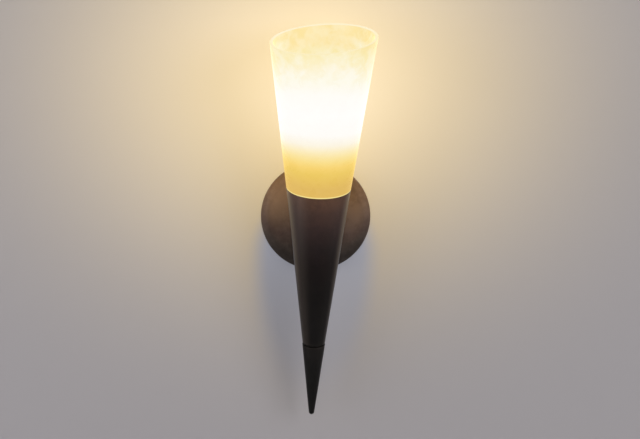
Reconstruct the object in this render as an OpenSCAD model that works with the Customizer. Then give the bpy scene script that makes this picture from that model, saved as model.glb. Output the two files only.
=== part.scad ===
// Torch sconce: a tapered bronze torch with a lit, clouded glass, leaning off a round backplate.
// Millimetres. +Z is up, the wall is the plane y = 0, and the torch stands out toward -Y.
// The origin is the centre of the backplate, on the wall.

/* [Torch] */
// Lean of the torch off the wall, top outwards, in degrees
torch_tilt = 8; // [4:1:12]
// Distance from the wall to the torch axis, level with the plate centre
standoff = 62; // [60:1:72]
// Height of the metal mouth above the plate centre, along the torch axis
mouth_height = 48; // [42:1:54]
// Outer diameter of the metal cone at its mouth
mouth_d = 73; // [70:1:80]
// Length of the metal cone from its mouth to the seam above the finial
cone_len = 190; // [170:5:220]
// Outer diameter of the metal cone at the seam
seam_d = 26; // [24:1:30]
// Wall of the spun cone
cone_wall = 1.2; // [0.8:0.1:2]
// Thickness of the closed lower end of the cone
cone_end_t = 3; // [2:0.5:5]

/* [Finial] */
// Length of the finial from the seam to its tip
finial_len = 92; // [60:1:120]
// Diameter of the blunt tip
tip_d = 6.4; // [4:0.2:8]
// How far the top of the finial stands proud of the cone, on the radius
finial_proud = 0.2; // [0:0.1:0.6]
// Height of the groove at the seam
seam_gap = 1.5; // [0.8:0.1:3]
// Depth of the groove at the seam
seam_groove = 1.3; // [0.6:0.1:2]
// How deep the centre rod screws into the finial
rod_in_finial = 20; // [12:1:30]

/* [Glass] */
// Height of the glass from the mouth to the middle of its rim
glass_h = 175; // [160:5:200]
// Outer diameter of the glass at its rim
glass_top_d = 120; // [110:2:140]
// Wall of the glass
glass_wall = 4; // [3:0.5:6]
// Thickness of the glass floor
glass_floor = 6; // [4:0.5:8]
// Diameter of the hole in the glass floor, which goes over the lampholder
glass_hole_d = 42; // [41:0.5:44]
// Slope of the hand-cut rim, right side up, in degrees
rim_slant = 5; // [0:0.5:6]
// Open line between the glass shoulder and the metal mouth
joint_gap = 0.3; // [0.2:0.1:1]
// Thickness of the felt ring under the glass
felt_t = 1; // [0.5:0.1:2]

/* [Backplate] */
// Diameter of the round backplate
plate_d = 127; // [120:1:150]
// Depth of the backplate off the wall
plate_depth = 12; // [12:1:14]
// Radius of the rounded front edge of the backplate
plate_edge_r = 9; // [4:0.5:11]
// Wall of the pressed backplate
plate_wall = 1.2; // [0.8:0.1:1.4]

/* [Stem] */
// Diameter of the flange where the stem meets the backplate
stem_flange_d = 34; // [28:1:40]
// Diameter of the waist of the stem
stem_waist_d = 18; // [14:1:20]
// Diameter of the head of the stem, where it fits the cone
stem_head_d = 24; // [20:1:28]
// Thickness of the stem flange
stem_flange_t = 3; // [2:0.5:4]
// Diameter of the saddle washer inside the cone
saddle_d = 18; // [16:1:22]
// Thickness of the saddle washer at its centre
saddle_t = 4; // [3:0.5:6]

/* [Wall strap] */
// Spacing of the screw slots that fit a ceiling or wall box
box_spacing = 88.9; // [70:0.1:92]
// Width of a screw slot
slot_w = 5; // [4:0.5:6]
// Length of a screw slot, end to end
slot_len = 14; // [8:1:16]
// Length of the strap that is screwed to the box
box_strap_len = 112; // [110:1:116]
// Width of both straps
strap_w = 20; // [16:1:22]
// Thickness of each strap
strap_t = 2; // [1.5:0.1:2]
// Length of the upper strap, which carries the backplate
plate_strap_len = 88; // [84:1:96]
// Spacing of the two studs that hold the backplate
stud_spacing = 70; // [64:1:76]
// Diameter of the studs
stud_d = 4; // [3:0.5:5]

/* [Lampholder] */
// Outer diameter of the lampholder, over its ring thread
holder_d = 39; // [38:0.5:40]
// Height of the lampholder
holder_h = 44; // [42:1:46]
// Bore of the brass screw shell
shell_bore_d = 26.8; // [26.6:0.1:27]
// Outer diameter of the flange of the shade ring
ring_d = 56; // [50:1:60]
// Height of the shade ring
ring_h = 8; // [6:0.5:10]
// Thickness of the fibre washer under the shade ring
ring_washer_t = 0.8; // [0.5:0.1:1.5]

/* [Lamp] */
// Diameter of the lamp's globe
globe_d = 48; // [40:1:50]
// Overall length of the lamp
lamp_len = 87; // [80:1:100]
// Diameter of the lamp cap over its thread
cap_d = 26.2; // [26:0.1:26.4]
// Diameter of the glass neck where it enters the cap
neck_d = 24.4; // [22:0.2:24.8]
// Wall of the lamp's glass
globe_wall = 0.8; // [0.5:0.1:1.2]

/* [Threaded pipe and wire] */
// Outer diameter of the threaded pipe used for the rod and the nipple
pipe_d = 10; // [9.5:0.1:10.2]
// Bore of the threaded pipe
pipe_bore_d = 6.8; // [6.4:0.1:7]
// Width across the flats of the pipe nuts
pipe_nut_af = 14; // [13:0.5:15]
// Thickness of the pipe nuts
pipe_nut_t = 3; // [2.5:0.5:3]
// Outer diameter of each insulated lead
lead_d = 2.2; // [1.6:0.1:2.4]
// Spacing of the two leads where they lie side by side
lead_spacing = 3.2; // [2.6:0.1:3.4]
// Bend radius of the leads where they turn up the torch
lead_bend = 6; // [4:0.5:8]

/* [Fits] */
// Gap between pieces seated on a curved face
seat_gap = 0.05; // [0.02:0.01:0.1]
// Radial clearance of a thread or a bolt in its hole
thread_gap = 0.05; // [0.03:0.01:0.1]
// Radial clearance of the strap pivot
pivot_gap = 0.08; // [0.03:0.01:0.1]
// Gap between pieces that are taken apart in use
loose_gap = 0.3; // [0.2:0.05:0.5]

/* [Hidden] */
$fn = 96;

mouth_r = mouth_d / 2;
seam_r = seam_d / 2;
pipe_r = pipe_d / 2;
pipe_hole_r = pipe_r + thread_gap;
lead_r = lead_d / 2;
lead_x = lead_spacing / 2;
lead_swell = 0.05;
stud_r = stud_d / 2;
washer_t = 1;
cut = 1;

// Outer radius of the metal cone, and of the glass, at a height above the mouth
cone_slope = (mouth_r - seam_r) / cone_len;
function cone_r(z) = mouth_r + cone_slope * z;
glass_slope = (glass_top_d / 2 - mouth_r) / glass_h;
function glass_r(z) = mouth_r + glass_slope * z;

// Depth of the cone's back face off the wall, level with the plate centre
cone_back = standoff - (mouth_r - cone_slope * mouth_height)
            / (cos(torch_tilt) + cone_slope * sin(torch_tilt));
cone_inside = cone_back + cone_wall / cos(torch_tilt);
saddle_front = cone_inside + saddle_t;
nipple_front = saddle_front + washer_t + pipe_nut_t + 1.5;
plate_inside = plate_depth - plate_wall;
nipple_back = plate_inside - washer_t - pipe_nut_t - 0.6;

// Heights inside the torch, above the mouth
seat_top = -3;
seat_t = 4;
foot_z = seat_top + felt_t;
floor_top = foot_z + glass_floor;
spigot_r = mouth_r - cone_wall - 0.5;
rod_nut_t = 4;
holder_z = seat_top + washer_t + rod_nut_t + 1;
holder_r = holder_d / 2;
holder_floor = 6;
holder_bore_r = 14.6;
bushing_r = 9;
bushing_flange_r = 10.6;
bushing_flange_t = 1.5;
disc_z = holder_z + holder_floor + 5;
disc_t = 3;
disc_r = holder_bore_r - 0.1;
shell_z = disc_z + disc_t;
shell_r = shell_bore_d / 2;
shell_wall = 0.5;
shell_top = holder_z + holder_h - 3;
contact_h = 3;
tab_w = 2.6;
tab_t = 0.8;

// The leads leave the nipple, turn up and run along the back of the rod
wall_end = 0.5;
bushing_t = 1;
lead_exit = nipple_front + bushing_t + 0.5;
lead_turn = 90 - torch_tilt;
lead_end_y = -lead_exit - lead_bend * sin(lead_turn);
lead_end_z = lead_bend - lead_bend * cos(lead_turn);
lead_y = (lead_end_y + standoff) * cos(torch_tilt) + lead_end_z * sin(torch_tilt);
lead_z = -(lead_end_y + standoff) * sin(torch_tilt) + lead_end_z * cos(torch_tilt) - mouth_height;
lead_top = disc_z - tab_t - 0.8;

// The lamp stands on the centre contact
lamp_z = shell_z + contact_h + loose_gap;
eyelet_h = 1.5;
insulator_h = 3.5;
cap_r = cap_d / 2;
cap_wall = 0.35;
cap_z = lamp_z + eyelet_h + insulator_h;
cap_len = 21;
cap_top = cap_z + cap_len;
globe_r = globe_d / 2;
globe_z = lamp_z + lamp_len - globe_r;
neck_r = neck_d / 2;
neck_in_cap = 6;
neck_z = cap_top - neck_in_cap;

// Shade ring and its fibre washer
ring_washer_z = floor_top;
ring_z = ring_washer_z + ring_washer_t;
ring_bore_r = holder_r + loose_gap;
ring_hub_r = ring_bore_r + 3.8;
ring_flange_t = 2.5;

// Finial, rod and pivot
finial_r = seam_r + finial_proud;
tip_r = tip_d / 2;
rod_bottom = -cone_len - rod_in_finial;
rod_top = holder_z + holder_floor - 0.5;
pivot_r = 6.5;
pivot_bore_r = 5.5;
pivot_flange_r = 8.2;
pivot_flange_t = 0.8;
ground_z = -20;
lug_t = 0.8;

// Studs and cap nuts of the backplate
stud_back = strap_t + 0.2;
stud_nut_t = 2.4;
stud_nut_af = 7;
cap_washer_t = 0.8;
cap_nut_h = 4;
cap_nut_r = 4.5;
stud_tip = plate_depth + cap_washer_t + 5;

// Height of the glass stem inside the lamp
stem_top = 24;

// Places the torch: its own +Z runs up the torch axis from the metal mouth
module torch() {
    translate([0, -standoff, 0]) rotate([torch_tilt, 0, 0]) translate([0, 0, mouth_height]) children();
}

// Turns a piece that is drawn along +Z to stand out from the wall, starting at a depth off it
module outward(depth) {
    translate([0, -depth, 0]) rotate([90, 0, 0]) children();
}

// A ring or tube along +Z
module tube(h, r_out, r_in) {
    difference() {
        cylinder(h = h, r = r_out);
        translate([0, 0, -cut]) cylinder(h = h + 2 * cut, r = r_in);
    }
}

// A hexagonal nut along +Z
module hex_nut(h, across_flats, r_in) {
    difference() {
        cylinder(h = h, r = across_flats / 2 / cos(30), $fn = 6);
        translate([0, 0, -cut]) cylinder(h = h + 2 * cut, r = r_in);
    }
}

// A split spring washer along +Z
module split_washer(r_out, r_in) {
    split_w = 1;
    difference() {
        tube(washer_t, r_out, r_in);
        translate([0, -split_w / 2, -cut]) cube([r_out + cut, split_w, washer_t + 2 * cut]);
    }
}

// A solid cone that follows the metal shell, grown by a gap
module cone_solid(grow) {
    translate([0, 0, -cone_len]) cylinder(h = cone_len, r1 = seam_r + grow, r2 = mouth_r + grow);
}

// The hollow inside the metal shell, shrunk by a gap
module cone_hollow(gap) {
    inset = cone_wall + gap;
    depth = cone_len - cone_end_t;
    translate([0, 0, -depth])
        cylinder(h = depth + cut, r1 = cone_r(-depth) - inset, r2 = cone_r(cut) - inset);
}

// The straps: the lower one is screwed to the wall box, the upper one swivels on it to level the torch
module strap_blank(length) {
    linear_extrude(strap_t) union() {
        square([length - strap_w, strap_w], center = true);
        for (side = [-1, 1]) translate([side * (length - strap_w) / 2, 0]) circle(d = strap_w);
    }
}

module box_strap() {
    color("#c9c8c2") outward(0) difference() {
        strap_blank(box_strap_len);
        translate([0, 0, -cut]) cylinder(h = strap_t + 2 * cut, r = pivot_r);
        for (side = [-1, 1]) translate([side * box_spacing / 2, 0, -cut])
            linear_extrude(strap_t + 2 * cut) union() {
                square([slot_len - slot_w, slot_w], center = true);
                for (end = [-1, 1]) translate([end * (slot_len - slot_w) / 2, 0]) circle(d = slot_w);
            }
    }
}

module strap_pivot() {
    flange_z = 2 * strap_t + pivot_gap;
    color("#b9b8b2") outward(0) difference() {
        union() {
            cylinder(h = flange_z, r = pivot_r);
            translate([0, 0, flange_z]) cylinder(h = pivot_flange_t, r = pivot_flange_r);
        }
        translate([0, 0, -cut]) cylinder(h = flange_z + pivot_flange_t + 2 * cut, r = pivot_bore_r);
    }
}

module plate_strap() {
    color("#c9c8c2") outward(strap_t) difference() {
        rotate([0, 0, 90]) strap_blank(plate_strap_len);
        translate([0, 0, -cut]) cylinder(h = strap_t + 2 * cut, r = pivot_r + pivot_gap);
        for (side = [-1, 1]) translate([0, side * stud_spacing / 2, -cut])
            cylinder(h = strap_t + 2 * cut, r = stud_r + thread_gap);
        translate([0, ground_z, -cut]) cylinder(h = strap_t + 2 * cut, r = stud_r + thread_gap);
    }
}

// Places a copy at each of the two studs
module at_studs(depth) {
    for (side = [-1, 1]) translate([0, 0, side * stud_spacing / 2]) outward(depth) children();
}

module plate_studs() {
    color("#b9b8b2") at_studs(stud_back) cylinder(h = stud_tip - stud_back, r = stud_r);
}

module stud_nuts() {
    color("#b9b8b2") at_studs(2 * strap_t) hex_nut(stud_nut_t, stud_nut_af, stud_r + thread_gap);
}

module ground_screw() {
    head_t = 2.4;
    head_r = 4;
    shank = 2 * strap_t + lug_t - stud_back;
    drive_cut = 0.9;
    color("#2f7a45") translate([0, 0, ground_z]) outward(stud_back) difference() {
        union() {
            cylinder(h = shank, r = stud_r);
            translate([0, 0, shank]) cylinder(h = head_t, r = head_r);
        }
        translate([-head_r - cut, -drive_cut / 2, shank + head_t - drive_cut])
            cube([2 * head_r + 2 * cut, drive_cut, drive_cut + cut]);
    }
}

// A crimped ring tag under the screw, and a wire that turns back into the wall box
module ground_wire() {
    tag_r = 4;
    barrel_r = 1.4;
    barrel_from = 3;
    barrel_to = 10;
    wire_r = 0.8;
    wire_to = 13;
    bend = 3;
    axis_z = barrel_r;
    color("#b87333") translate([0, 0, ground_z]) outward(2 * strap_t) difference() {
        union() {
            cylinder(h = lug_t, r = tag_r);
            translate([barrel_from, 0, axis_z]) rotate([0, 90, 0]) cylinder(h = barrel_to - barrel_from, r = barrel_r);
            translate([barrel_to - 0.5, 0, axis_z]) rotate([0, 90, 0]) cylinder(h = wire_to - barrel_to + 0.5, r = wire_r);
            translate([wire_to, 0, axis_z - bend]) rotate([90, 0, 0])
                rotate_extrude(angle = 90) translate([bend, 0]) circle(r = wire_r, $fn = 24);
            translate([wire_to + bend, 0, wall_end - 2 * strap_t])
                cylinder(h = 2 * strap_t + axis_z - bend - wall_end, r = wire_r);
        }
        translate([0, 0, -cut]) cylinder(h = lug_t + 2 * cut, r = stud_r + thread_gap);
        translate([0, 0, lug_t]) cylinder(h = 4, r = tag_r + 0.2);
    }
}

// The backplate: a pressed pan with a rounded front edge
module pan_section(inset) {
    r = plate_d / 2 - inset;
    h = plate_depth - inset;
    edge = plate_edge_r - inset;
    union() {
        translate([0, -cut]) square([r, h - edge + cut]);
        square([r - edge, h]);
        translate([r - edge, h - edge]) circle(r = edge);
    }
}

module backplate() {
    color("#5b4030") difference() {
        outward(0) rotate_extrude() difference() {
            intersection() {
                pan_section(0);
                square([plate_d, plate_d]);
            }
            pan_section(plate_wall);
        }
        outward(0) cylinder(h = plate_depth + cut, r = pipe_hole_r);
        at_studs(0) cylinder(h = plate_depth + cut, r = stud_r + loose_gap);
    }
}

module cap_washers() {
    color("#3a2a20") at_studs(plate_depth) tube(cap_washer_t, cap_nut_r, stud_r + thread_gap);
}

module cap_nuts() {
    color("#4a3426") at_studs(plate_depth + cap_washer_t) difference() {
        union() {
            cylinder(h = cap_nut_h, r = cap_nut_r);
            translate([0, 0, cap_nut_h]) sphere(r = cap_nut_r);
        }
        translate([0, 0, -cap_nut_r - cut]) cylinder(h = cap_nut_r + cut, r = cap_nut_r + cut);
        translate([0, 0, -cut]) cylinder(h = cut + stud_tip - plate_depth - cap_washer_t + 0.2, r = stud_r + thread_gap);
    }
}

// The stem: a turned collar whose head is hollowed to fit the cone, drawn together by a threaded nipple
module stem_collar() {
    length = cone_back - plate_depth + 4;
    waist_from = stem_flange_t + 3;
    waist_to = cone_back - plate_depth - 6;
    head_from = cone_back - plate_depth - 2;
    color("#4a3426") difference() {
        outward(plate_depth) rotate_extrude() polygon([
            [pipe_hole_r, 0],
            [stem_flange_d / 2, 0],
            [stem_flange_d / 2, stem_flange_t - 1],
            [stem_flange_d / 2 - 1, stem_flange_t],
            [stem_waist_d / 2, waist_from],
            [stem_waist_d / 2, waist_to],
            [stem_head_d / 2, head_from],
            [stem_head_d / 2, length],
            [pipe_hole_r, length]
        ]);
        torch() cone_solid(seat_gap);
    }
}

module stem_nipple() {
    color("#a89a7c") outward(nipple_back) tube(nipple_front - nipple_back, pipe_r, pipe_bore_d / 2);
}

module nipple_nuts() {
    color("#b9b8b2") {
        outward(plate_inside - washer_t - pipe_nut_t) hex_nut(pipe_nut_t, pipe_nut_af, pipe_hole_r);
        outward(saddle_front + washer_t) hex_nut(pipe_nut_t, pipe_nut_af, pipe_hole_r);
    }
}

module nipple_washers() {
    color("#b9b8b2") {
        outward(plate_inside - washer_t) split_washer(pipe_nut_af / 2 + 0.5, pipe_hole_r);
        outward(saddle_front) split_washer(pipe_nut_af / 2 + 0.5, pipe_hole_r);
    }
}

// Plastic bushings keep the pipe's ends from cutting the leads
module nipple_bushings() {
    sleeve_r = pipe_bore_d / 2 - seat_gap;
    bore_r = lead_x + lead_r + 0.2;
    sleeve = 3;
    color("#e9e6dc") {
        outward(nipple_back - bushing_t) difference() {
            union() {
                cylinder(h = bushing_t, r = pipe_r - 0.2);
                cylinder(h = bushing_t + sleeve, r = sleeve_r);
            }
            translate([0, 0, -cut]) cylinder(h = bushing_t + sleeve + 2 * cut, r = bore_r);
        }
        outward(nipple_front - sleeve) difference() {
            union() {
                cylinder(h = bushing_t + sleeve, r = sleeve_r);
                translate([0, 0, sleeve]) cylinder(h = bushing_t, r = pipe_r - 0.2);
            }
            translate([0, 0, -cut]) cylinder(h = bushing_t + sleeve + 2 * cut, r = bore_r);
        }
    }
}

module saddle_washer() {
    color("#b9b8b2") difference() {
        intersection() {
            outward(cone_inside - 4) cylinder(h = 4 + saddle_t, r = saddle_d / 2);
            torch() cone_hollow(seat_gap);
        }
        outward(0) cylinder(h = saddle_front + cut, r = pipe_hole_r);
    }
}

// The torch body: a spun metal cone, closed at its lower end but for the centre rod
module torch_cone() {
    color("#33261f") difference() {
        torch() difference() {
            cone_solid(0);
            cone_hollow(0);
            translate([0, 0, -cone_len - cut]) cylinder(h = cone_end_t + 2 * cut, r = pipe_hole_r);
        }
        outward(0) cylinder(h = saddle_front + cut, r = pipe_hole_r);
    }
}

module centre_rod() {
    color("#a89a7c") torch() translate([0, 0, rod_bottom]) tube(rod_top - rod_bottom, pipe_r, pipe_bore_d / 2);
}

module finial() {
    neck_r = seam_r - seam_groove;
    taper = finial_len - seam_gap - tip_r;
    color("#1f1a17") torch() translate([0, 0, -cone_len]) difference() {
        union() {
            translate([0, 0, -seam_gap]) cylinder(h = seam_gap, r = neck_r);
            translate([0, 0, -seam_gap - taper]) cylinder(h = taper, r1 = tip_r, r2 = finial_r);
            translate([0, 0, -seam_gap - taper]) sphere(r = tip_r);
        }
        translate([0, 0, -rod_in_finial - 1]) cylinder(h = rod_in_finial + 1 + cut, r = pipe_hole_r);
    }
}

// The seat is drawn down into the taper of the cone by the rod, and carries the glass and the lampholder
module seat_plate() {
    color("#c9c8c2") torch() difference() {
        intersection() {
            translate([0, 0, seat_top - seat_t]) cylinder(h = seat_t, r = mouth_r);
            cone_hollow(seat_gap);
        }
        translate([0, 0, seat_top - seat_t - cut]) cylinder(h = seat_t + 2 * cut, r = pipe_hole_r);
        translate([0, lead_y, seat_top - seat_t - cut])
            cylinder(h = seat_t + 2 * cut, r = lead_x + lead_r + 0.6);
    }
}

module rod_washer() {
    color("#b9b8b2") torch() translate([0, 0, seat_top]) split_washer(pipe_nut_af / 2 + 0.5, pipe_hole_r);
}

module rod_nut() {
    color("#b9b8b2") torch() translate([0, 0, seat_top + washer_t]) hex_nut(rod_nut_t, pipe_nut_af, pipe_hole_r);
}

module glass_felt() {
    color("#6d6a64") torch() translate([0, 0, seat_top]) tube(felt_t, spigot_r - 0.6, glass_hole_d / 2 + 1);
}

// The lampholder: an insulating body on a brass bushing, with a screw shell and a sprung centre contact
module lampholder_body() {
    thread_top = 14;
    body_r = holder_r - 1.5;
    color("#efece4") torch() translate([0, 0, holder_z]) difference() {
        union() {
            cylinder(h = thread_top, r = holder_r);
            translate([0, 0, thread_top]) cylinder(h = 2, r1 = holder_r, r2 = body_r);
            translate([0, 0, thread_top]) cylinder(h = holder_h - thread_top, r = body_r);
        }
        translate([0, 0, -cut]) cylinder(h = holder_floor + 2 * cut, r = bushing_r + seat_gap);
        translate([0, 0, holder_floor]) cylinder(h = holder_h, r = holder_bore_r);
        for (side = [-1, 1]) translate([side * lead_x, lead_y, -cut])
            cylinder(h = holder_floor + 2 * cut, r = lead_r + 0.15);
    }
}

module holder_bushing() {
    color("#b08d4a") torch() translate([0, 0, holder_z]) difference() {
        union() {
            cylinder(h = holder_floor, r = bushing_r);
            translate([0, 0, holder_floor]) cylinder(h = bushing_flange_t, r = bushing_flange_r);
        }
        translate([0, 0, -cut]) cylinder(h = holder_floor + bushing_flange_t + 2 * cut, r = pipe_hole_r);
    }
}

module contact_disc() {
    color("#2b2320") torch() difference() {
        translate([0, 0, disc_z]) cylinder(h = disc_t, r = disc_r);
        translate([0, 0, disc_z - cut]) cylinder(h = disc_t + 2 * cut, r = 1.5 + thread_gap);
        translate([lead_x - tab_w / 2 - 0.1, shell_r - tab_t - 0.1, disc_z - cut])
            cube([tab_w + 0.2, 3, disc_t + 2 * cut]);
    }
}

module screw_shell() {
    lip_bore_r = 9;
    color("#c8a45a") torch() difference() {
        union() {
            translate([0, 0, shell_z]) cylinder(h = shell_top - shell_z, r = shell_r + shell_wall);
            translate([lead_x - tab_w / 2, shell_r - tab_t, lead_top])
                cube([tab_w, tab_t, shell_z + shell_wall - lead_top]);
        }
        translate([0, 0, shell_z + shell_wall]) cylinder(h = holder_h, r = shell_r);
        translate([0, 0, shell_z - cut]) cylinder(h = shell_wall + 2 * cut, r = lip_bore_r);
    }
}

// A riveted spring tongue, raised in the middle to meet the lamp
module centre_contact() {
    tongue_w = 6;
    tongue_l = 6.5;
    color("#c8a45a") torch() union() {
        translate([0, 0, disc_z - tab_t]) cylinder(h = disc_t + 2 * tab_t, r = 1.5);
        translate([-tongue_w / 2, -tongue_l, shell_z]) cube([tongue_w, tongue_l + 2, tab_t]);
        translate([-tongue_w / 2, -tongue_l, shell_z]) cube([tongue_w, tab_t, contact_h]);
        translate([-tongue_w / 2, -tongue_l, shell_z + contact_h - tab_t]) cube([tongue_w, tongue_l + 3, tab_t]);
        translate([-lead_x - tab_w / 2, -2, disc_z - tab_t]) cube([tab_w, lead_y + lead_r + 2, tab_t]);
        translate([-lead_x - tab_w / 2, lead_y - lead_r, lead_top]) cube([tab_w, 2 * lead_r, disc_z - lead_top]);
    }
}

// One lead: straight through the stem, one bend, a ball where the bend ends, then up the back of the rod
// to its terminal
module lead(x) {
    translate([x, 0, 0]) union() {
        outward(wall_end) cylinder(h = lead_exit - wall_end, r = lead_r);
        translate([0, -lead_exit, lead_bend]) union() {
            rotate([180, 90, 0]) rotate_extrude(angle = lead_turn) translate([lead_bend, 0]) circle(r = lead_r);
            rotate([torch_tilt, 0, 0]) translate([0, -lead_bend, 0]) {
                cylinder(h = lead_top - lead_z, r = lead_r);
                sphere(r = lead_r + lead_swell);
            }
        }
    }
}

module lead_black() {
    color("#151515") lead(-lead_x);
}

module lead_white() {
    color("#f2f2ee") lead(lead_x);
}

// The glass: a thick clouded cone with a floor, a spigot that drops into the mouth and a sloping rim
module glass_shade() {
    rim_rise = glass_top_d * tan(rim_slant);
    over = glass_h + rim_rise;
    color("#f3d78a") torch() difference() {
        rotate_extrude() polygon([
            [glass_hole_d / 2, foot_z],
            [spigot_r, foot_z],
            [spigot_r, joint_gap],
            [glass_r(joint_gap), joint_gap],
            [glass_r(over), over],
            [glass_r(over) - glass_wall, over],
            [glass_r(floor_top) - glass_wall, floor_top],
            [glass_hole_d / 2, floor_top]
        ]);
        translate([0, 0, glass_h]) rotate([0, -rim_slant, 0]) translate([-glass_top_d, -glass_top_d, 0])
            cube([2 * glass_top_d, 2 * glass_top_d, 2 * rim_rise + cut]);
    }
}

module ring_washer() {
    color("#8a5a34") torch() translate([0, 0, ring_washer_z]) tube(ring_washer_t, ring_d / 2 - 2, ring_bore_r);
}

module shade_ring() {
    grips = 24;
    grip_r = 0.9;
    color("#2b2320") torch() translate([0, 0, ring_z]) difference() {
        union() {
            cylinder(h = ring_flange_t, r = ring_d / 2);
            cylinder(h = ring_h, r = ring_hub_r);
        }
        translate([0, 0, -cut]) cylinder(h = ring_h + 2 * cut, r = ring_bore_r);
        for (i = [0:grips - 1]) rotate([0, 0, i * 360 / grips])
            translate([ring_hub_r + 0.3, 0, ring_flange_t]) cylinder(h = ring_h, r = grip_r, $fn = 24);
    }
}

// The lamp: a frosted globe on a screw cap
module lamp_eyelet() {
    color("#c9c4b8") torch() translate([0, 0, lamp_z]) cylinder(h = eyelet_h, r1 = 3.6, r2 = 4.8);
}

module lamp_insulator() {
    color("#20262c") torch() translate([0, 0, lamp_z + eyelet_h])
        cylinder(h = insulator_h, r1 = 5.2, r2 = cap_r - 0.9);
}

module lamp_cap() {
    color("#c9c4b8") torch() translate([0, 0, cap_z]) difference() {
        cylinder(h = cap_len, r = cap_r);
        translate([0, 0, cap_wall]) cylinder(h = cap_len, r = cap_r - cap_wall);
        translate([0, 0, -cut]) cylinder(h = cap_len, r = 6);
    }
}

// Outline of the globe and its neck: the neck's flare is tangent to the sphere
module globe_solid(inset) {
    r = globe_r - inset;
    n = neck_r - inset;
    rise = globe_z - cap_top;
    reach = sqrt(n * n + rise * rise);
    flare = asin(r / reach) - atan2(n, rise);
    run = sqrt(reach * reach - r * r);
    union() {
        translate([0, 0, neck_z - inset]) cylinder(h = cap_top - neck_z + inset, r = n);
        translate([0, 0, cap_top]) cylinder(h = run * cos(flare), r1 = n, r2 = n + run * sin(flare));
        translate([0, 0, globe_z]) sphere(r = r);
    }
}

module lamp_globe() {
    color("#fff4d6") torch() difference() {
        globe_solid(0);
        globe_solid(globe_wall);
    }
}

module lamp_stem() {
    disc_rise = 0.5;
    disc_h = 1.5;
    flare_r = 8;
    flare_h = 8;
    post_r = 3;
    color("#dfe6e6") torch() translate([0, 0, neck_z]) union() {
        translate([0, 0, disc_rise]) cylinder(h = disc_h, r = neck_r - globe_wall - seat_gap);
        translate([0, 0, 2 * disc_rise]) cylinder(h = flare_h, r1 = flare_r, r2 = post_r);
        translate([0, 0, flare_h]) cylinder(h = stem_top - flare_h, r = post_r);
    }
}

// Two support wires and a coiled filament drawn as its outer envelope
module lamp_filament() {
    wire_r = 0.5;
    spread = 9;
    height = 16;
    bar_r = 0.8;
    overhang = 0.6;
    foot_h = 1.2;
    foot_r = 2;
    color("#d8b070") torch() translate([0, 0, neck_z + stem_top]) union() {
        cylinder(h = foot_h, r = foot_r, $fn = 24);
        for (side = [-1, 1]) translate([0, 0, foot_h / 2]) rotate([0, side * atan2(spread, height), 0])
            cylinder(h = sqrt(spread * spread + height * height), r = wire_r, $fn = 16);
        translate([-spread - overhang, 0, foot_h / 2 + height]) rotate([0, 90, 0])
            cylinder(h = 2 * (spread + overhang), r = bar_r, $fn = 16);
    }
}

box_strap();
strap_pivot();
plate_strap();
plate_studs();
stud_nuts();
ground_screw();
ground_wire();
backplate();
cap_washers();
cap_nuts();
stem_collar();
stem_nipple();
nipple_nuts();
nipple_washers();
nipple_bushings();
saddle_washer();
torch_cone();
centre_rod();
finial();
seat_plate();
rod_washer();
rod_nut();
glass_felt();
lampholder_body();
holder_bushing();
contact_disc();
screw_shell();
centre_contact();
lead_black();
lead_white();
glass_shade();
ring_washer();
shade_ring();
lamp_eyelet();
lamp_insulator();
lamp_cap();
lamp_globe();
lamp_stem();
lamp_filament();
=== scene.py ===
import math

import bpy
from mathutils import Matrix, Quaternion, Vector


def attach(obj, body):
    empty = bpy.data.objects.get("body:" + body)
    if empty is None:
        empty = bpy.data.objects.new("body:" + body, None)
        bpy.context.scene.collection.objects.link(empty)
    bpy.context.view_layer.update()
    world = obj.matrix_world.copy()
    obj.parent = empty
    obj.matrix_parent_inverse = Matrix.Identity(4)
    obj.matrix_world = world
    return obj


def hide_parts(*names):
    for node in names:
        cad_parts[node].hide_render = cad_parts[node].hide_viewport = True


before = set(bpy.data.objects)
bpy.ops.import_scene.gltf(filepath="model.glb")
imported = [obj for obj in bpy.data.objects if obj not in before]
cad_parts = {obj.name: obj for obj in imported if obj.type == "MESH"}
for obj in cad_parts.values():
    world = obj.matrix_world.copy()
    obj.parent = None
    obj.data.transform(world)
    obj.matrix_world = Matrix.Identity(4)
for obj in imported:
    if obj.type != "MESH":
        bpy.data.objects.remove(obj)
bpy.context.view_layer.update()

# The view. The light is seen a little from the left and from above, with the camera turned slightly.
view_bearing = math.radians(-2.2)
view_height = math.radians(12.81)
view_distance = 2.6
camera_turn = Quaternion((0, 0, 1), math.radians(1.48))
towards_camera = Vector((
    math.sin(view_bearing) * math.cos(view_height),
    -math.cos(view_bearing) * math.cos(view_height),
    math.sin(view_height),
))
bpy.ops.object.camera_add(location=towards_camera * view_distance)
camera = bpy.context.object
camera.name = "room_camera"
camera.rotation_mode = "QUATERNION"
camera.rotation_quaternion = (-towards_camera).to_track_quat("-Z", "Y") @ camera_turn
camera.data.sensor_width = 36
camera.data.lens = 125.9
camera.data.shift_x = 0.0069
camera.data.shift_y = -0.0061
bpy.context.scene.camera = camera
bpy.context.scene.view_settings.view_transform = "Standard"


# The wall and the floor of the room, of plain pale plaster. Each shows from its front only, and lets the
# studio light through, so that the light fitting can be looked at from behind and from below.
class Value:
    """A number or a colour inside a finish. Arithmetic on values adds the Math nodes that work it out."""

    def __init__(self, finish, socket):
        self.finish = finish
        self.socket = socket

    def worked(self, operation, *values):
        return self.finish.node("Math", {"operation": operation}, dict(enumerate(values)))

    def __add__(self, other):
        return self.worked("ADD", self, other)

    def __sub__(self, other):
        return self.worked("SUBTRACT", self, other)

    def __rsub__(self, other):
        return self.worked("SUBTRACT", other, self)

    def __mul__(self, other):
        return self.worked("MULTIPLY", self, other)

    def __truediv__(self, other):
        return self.worked("DIVIDE", self, other)

    __radd__ = __add__
    __rmul__ = __mul__


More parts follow.
